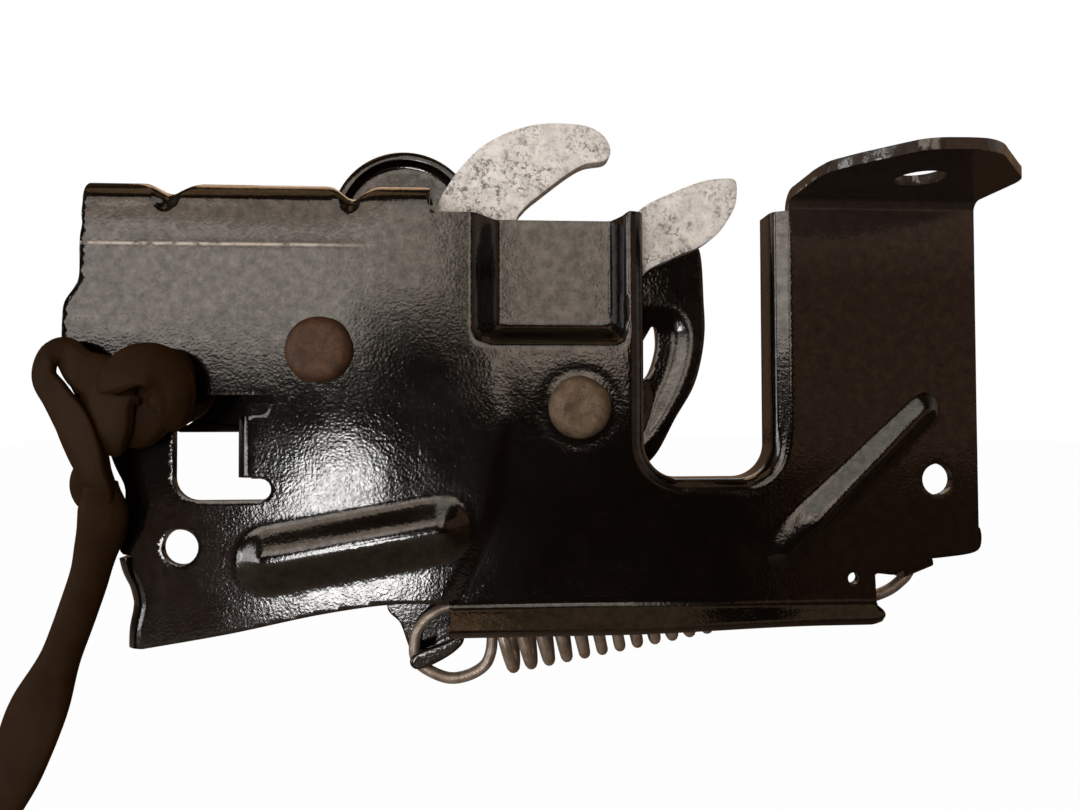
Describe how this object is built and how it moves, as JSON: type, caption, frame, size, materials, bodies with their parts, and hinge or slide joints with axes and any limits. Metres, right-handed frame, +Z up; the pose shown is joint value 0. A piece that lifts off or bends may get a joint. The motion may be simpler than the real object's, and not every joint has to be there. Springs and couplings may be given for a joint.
{
  "type": "bonnet latch",
  "caption": "Pressed steel bonnet latch with striker slot, rotary fork, pawl, spring-loaded ejector lever and a short switch lead.",
  "frame": {"origin": "centre of the left fixing hole on the plate's front face", "axes": "+X along the plate to the right, +Y back through the plate, +Z up as mounted in the vehicle"},
  "size_m": [0.2085, 0.0506, 0.2007],
  "materials": {
    "black_paint": "gloss",
    "zinc": "mottled satin",
    "rivet": "rusty",
    "wire": "satin",
    "rubber": "matte",
    "plastic": "matte",
    "sleeve": "soft matte"
  },
  "bodies": {
    "frame": {"front_plate": "black_paint", "back_plate": "black_paint", "fork_rivet": "rivet", "pawl_rivet": "rivet", "spacer_post": "wire", "fork_collar": "wire", "pawl_collar": "wire", "fork_washer": "wire", "pawl_washer": "wire", "stop_buffer": "rubber", "fork_spring": "wire", "pawl_spring": "wire", "ejector_spring": "wire", "switch_body": "plastic", "switch_screw": "wire", "lead_knot": "sleeve", "lead": "sleeve", "connector_housing": "plastic", "connector_lock": "plastic"},
    "fork": {"latch_fork": "zinc"},
    "ejector": {"ejector_lever": "black_paint"},
    "pawl": {"pawl": "zinc", "release_arm": "black_paint", "release_arm_rivets": "wire"},
    "plunger": {"switch_plunger": "zinc"}
  },
  "joints": [
    {"name": "fork_turn", "type": "hinge", "parent": "frame", "child": "fork", "pos_m": [0.078, 0.0104, 0.027], "axis": [0, 1, 0], "range_deg": [0, 60], "stiffness_Nm_per_rad": 0.25, "springref_deg": -22.92, "deforming": ["fork_spring"]},
    {"name": "ejector_turn", "type": "hinge", "parent": "frame", "child": "ejector", "pos_m": [0.078, 0.01405, 0.027], "axis": [0, 1, 0], "range_deg": [0, 35], "stiffness_Nm_per_rad": 0.8, "springref_deg": -22.92, "deforming": ["ejector_spring"]},
    {"name": "pawl_turn", "type": "hinge", "parent": "frame", "child": "pawl", "pos_m": [0.0265, 0.0116, 0.0385], "axis": [0, 1, 0], "range_deg": [-5, 9], "stiffness_Nm_per_rad": 0.3, "deforming": ["pawl_spring"]},
    {"name": "plunger_slide", "type": "slide", "parent": "frame", "child": "plunger", "axis": [-1, 0, 0], "range_m": [0, 0.0012], "stiffness_N_per_m": 300, "springref_m": -0.001}
  ]
}
